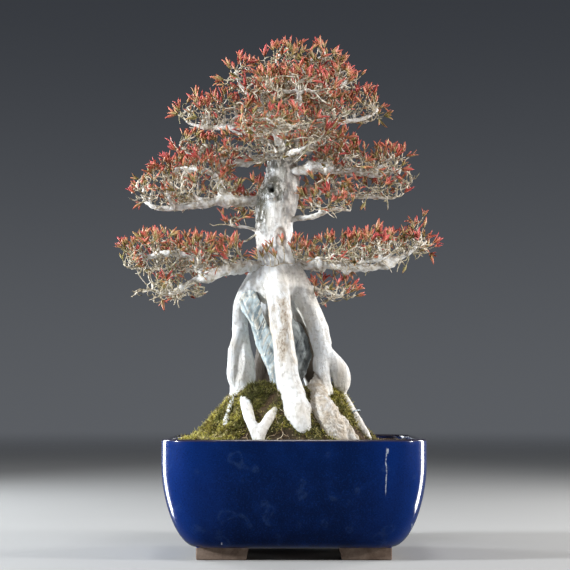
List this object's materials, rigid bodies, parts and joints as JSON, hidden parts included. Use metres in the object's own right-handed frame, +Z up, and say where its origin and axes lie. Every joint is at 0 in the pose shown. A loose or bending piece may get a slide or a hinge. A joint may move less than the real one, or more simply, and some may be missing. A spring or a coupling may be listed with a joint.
{
  "type": "root over rock bonsai",
  "caption": "Azalea bonsai in spring bud, its pale roots gripping a leaning grey-blue rock, in a glazed blue rectangular pot.",
  "frame": {"origin": "middle of the base of the whole object's box, on the surface that the pot stands on", "axes": "+Z up along the tree's height, -Y towards the viewer of the front, +X to the viewer's right along the pot's long side"},
  "size_m": [0.3546, 0.2346, 0.5915],
  "materials": {
    "glaze": "glossy cobalt blue ceramic glaze over brown clay, feet left bare",
    "bark": "pale cream grey bark, smooth on the roots and flaky on the trunk",
    "stone": "grey blue broken stone",
    "soil": "dark brown grainy soil",
    "moss": "yellow green and dark green moss",
    "shoots": "tan twigs with young leaves, green at the base and red at the tips",
    "wire": "dark anodised tie wire",
    "screen": "black plastic drain screen"
  },
  "bodies": {
    "root": {"pot": "glaze", "drain_screen_left": "screen", "drain_screen_right": "screen", "trunk_and_roots": "bark", "tie_wire": "wire", "rock": "stone", "soil": "soil", "moss_left": "moss", "moss_saddle": "moss", "moss_right": "moss", "moss_back": "moss", "branch_low_left": "shoots", "branch_low_right": "shoots", "branch_low_right_under": "shoots", "branch_low_back": "shoots", "branch_stub_left": "shoots", "branch_mid_left": "shoots", "branch_mid_right": "shoots", "branch_mid_right_low": "shoots", "branch_mid_right_under": "shoots", "branch_mid_back": "shoots", "branch_up_left_low": "shoots", "branch_up_left": "shoots", "branch_up_right_low": "shoots", "branch_up_right": "shoots", "branch_up_front": "shoots", "branch_mid_front": "shoots", "branch_up_back": "shoots", "branch_top_left": "shoots", "branch_top_front": "shoots", "branch_top_back": "shoots", "branch_top_right": "shoots", "branch_crown": "shoots"}
  },
  "joints": []
}
